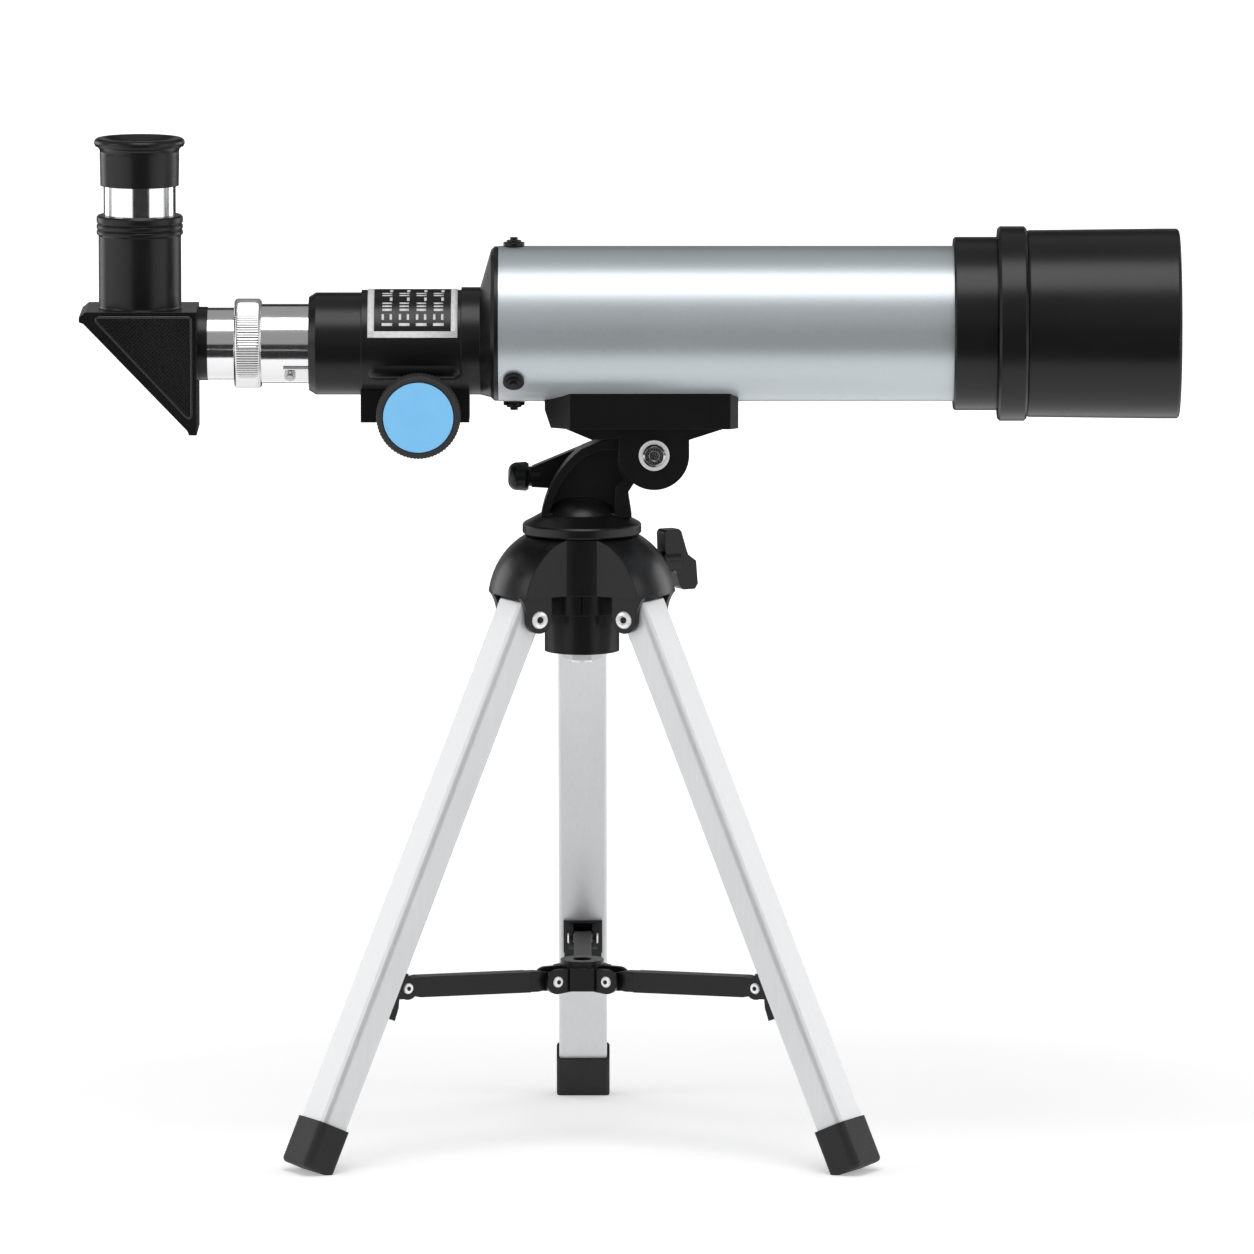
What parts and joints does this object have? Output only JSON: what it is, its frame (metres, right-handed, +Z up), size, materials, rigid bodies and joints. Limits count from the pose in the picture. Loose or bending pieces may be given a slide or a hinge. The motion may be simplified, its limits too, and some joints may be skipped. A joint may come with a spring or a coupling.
{
  "type": "tabletop refractor telescope",
  "caption": "Small refracting telescope with a diagonal eyepiece and rack-and-pinion focuser, tilting on a pan head over a low braced tripod.",
  "frame": {"origin": "on the floor under the middle of the object's bounding box", "axes": "+X along the optical tube towards the objective, +Y towards the back leg, +Z up"},
  "size_m": [0.3722, 0.1754, 0.3457],
  "materials": {
    "tube_paint": "metallic silver paint, fine satin",
    "black_shell": "moulded plastic, fine grain",
    "black_hood": "moulded plastic, semi-gloss",
    "bright_chrome": "polished plate",
    "screw_steel": "bright zinc plate",
    "leg_metal": "satin, clear anodised",
    "cap_blue": "satin sky-blue disc",
    "foot_rubber": "soft matte",
    "lens_glass": "coated, polished",
    "mirror_face": "front-silvered",
    "label_film": "printed film"
  },
  "bodies": {
    "tripod": {"tripod_crown": "black_shell", "leg_rivets": "screw_steel", "leg_left": "leg_metal", "foot_left": "foot_rubber", "brace_bracket_left": "black_shell", "bracket_rivet_left": "screw_steel", "leg_right": "leg_metal", "foot_right": "foot_rubber", "brace_bracket_right": "black_shell", "bracket_rivet_right": "screw_steel", "leg_back": "leg_metal", "foot_back": "foot_rubber", "brace_bracket_back": "black_shell", "bracket_rivet_back": "screw_steel"},
    "head": {"pan_head": "black_shell", "pan_bolt": "screw_steel", "pan_nut": "screw_steel", "tilt_bolt": "screw_steel", "tilt_washer": "screw_steel"},
    "pan_lock": {"pan_lock_screw": "screw_steel", "pan_lock_knob": "black_shell"},
    "tilt_lock": {"tilt_lever": "black_shell"},
    "optical_tube": {"cradle": "black_shell", "cradle_screws": "screw_steel", "main_tube": "tube_paint", "lens_cell": "black_hood", "lens_hood": "black_hood", "objective_rear_lens": "lens_glass", "objective_front_lens": "lens_glass", "lens_spacer": "black_shell", "lens_retaining_ring": "black_shell", "tube_baffle": "black_shell", "housing_screws": "black_hood", "focuser_housing": "black_shell", "pinion_cover": "black_shell", "cover_screws": "screw_steel", "label_plate": "label_film"},
    "focus_tube": {"drawtube": "bright_chrome", "focus_rack": "screw_steel", "drawtube_key": "bright_chrome", "key_screw": "bright_chrome"},
    "focus_knobs": {"pinion_shaft": "screw_steel", "focus_pinion": "screw_steel", "focus_knob_near": "black_hood", "focus_knob_far": "black_hood", "knob_cap_near": "cap_blue", "knob_cap_far": "cap_blue"},
    "clamp_ring": {"clamp_collar": "bright_chrome"},
    "diagonal": {"diagonal_case": "black_shell", "diagonal_barrel": "bright_chrome", "diagonal_mirror": "mirror_face"},
    "eyepiece": {"eyepiece_barrel": "bright_chrome", "eyepiece_body": "black_hood", "eye_lens": "lens_glass", "field_lens": "lens_glass"},
    "brace": {"brace_hub": "black_shell", "hub_rivets": "screw_steel"},
    "brace_arm_left": {"brace_arm_left": "black_shell"},
    "brace_arm_right": {"brace_arm_right": "black_shell"},
    "brace_arm_back": {"brace_arm_back": "black_shell"}
  },
  "joints": [
    {"name": "pan_turn", "type": "hinge", "parent": "tripod", "child": "head", "pos_m": [-0.01625, -0.02457, 0.211], "axis": [0, 0, 1], "continuous": true},
    {"name": "pan_lock_turn", "type": "hinge", "parent": "tripod", "child": "pan_lock", "pos_m": [0.00973, -0.00957, 0.1992], "axis": [0.866, 0.5, 0], "range_deg": [-90, 90]},
    {"name": "tube_tilt", "type": "hinge", "parent": "head", "child": "optical_tube", "pos_m": [0.00825, -0.02457, 0.2387], "axis": [0, -1, 0], "range_deg": [-35, 25]},
    {"name": "tilt_lock_turn", "type": "hinge", "parent": "head", "child": "tilt_lock", "pos_m": [0.00825, -0.00957, 0.2387], "axis": [0, 1, 0], "range_deg": [-10, 7]},
    {"name": "focus_slide", "type": "slide", "parent": "optical_tube", "child": "focus_tube", "axis": [-1, 0, 0], "range_m": [-0.004, 0.04]},
    {"name": "focus_knob_turn", "type": "hinge", "parent": "optical_tube", "child": "focus_knobs", "pos_m": [-0.07135, -0.02457, 0.2537], "axis": [0, 1, 0], "range_deg": [-306, 31]},
    {"name": "clamp_ring_turn", "type": "hinge", "parent": "focus_tube", "child": "clamp_ring", "pos_m": [-0.12925, -0.02457, 0.2757], "axis": [1, 0, 0], "range_deg": [-60, 60]},
    {"name": "diagonal_turn", "type": "hinge", "parent": "focus_tube", "child": "diagonal", "pos_m": [-0.13125, -0.02457, 0.2757], "axis": [1, 0, 0], "range_deg": [-90, 90]},
    {"name": "eyepiece_slide", "type": "slide", "parent": "diagonal", "child": "eyepiece", "axis": [0, 0, 1], "range_m": [0, 0.014]},
    {"name": "brace_lift", "type": "slide", "parent": "tripod", "child": "brace", "axis": [0, 0, 1], "range_m": [0, 0.00494]},
    {"name": "brace_arm_left_swing", "type": "hinge", "parent": "brace", "child": "brace_arm_left", "pos_m": [-0.02682, -0.03067, 0.0581], "axis": [0.5, -0.866, 0], "range_deg": [0, 5.05]},
    {"name": "brace_arm_right_swing", "type": "hinge", "parent": "brace", "child": "brace_arm_right", "pos_m": [-0.00568, -0.03067, 0.0581], "axis": [0.5, 0.866, 0], "range_deg": [0, 5.05]},
    {"name": "brace_arm_back_swing", "type": "hinge", "parent": "brace", "child": "brace_arm_back", "pos_m": [-0.01625, -0.01237, 0.0581], "axis": [-1, 0, 0], "range_deg": [0, 5.05]}
  ],
  "couplings": [
    {"joint": "focus_knob_turn", "follows": "focus_slide", "rad_per_m": -133.33},
    {"joint": "brace_arm_left_swing", "follows": "brace_lift", "rad_per_m": 17.149},
    {"joint": "brace_arm_right_swing", "follows": "brace_lift", "rad_per_m": 17.149},
    {"joint": "brace_arm_back_swing", "follows": "brace_lift", "rad_per_m": 17.149}
  ]
}
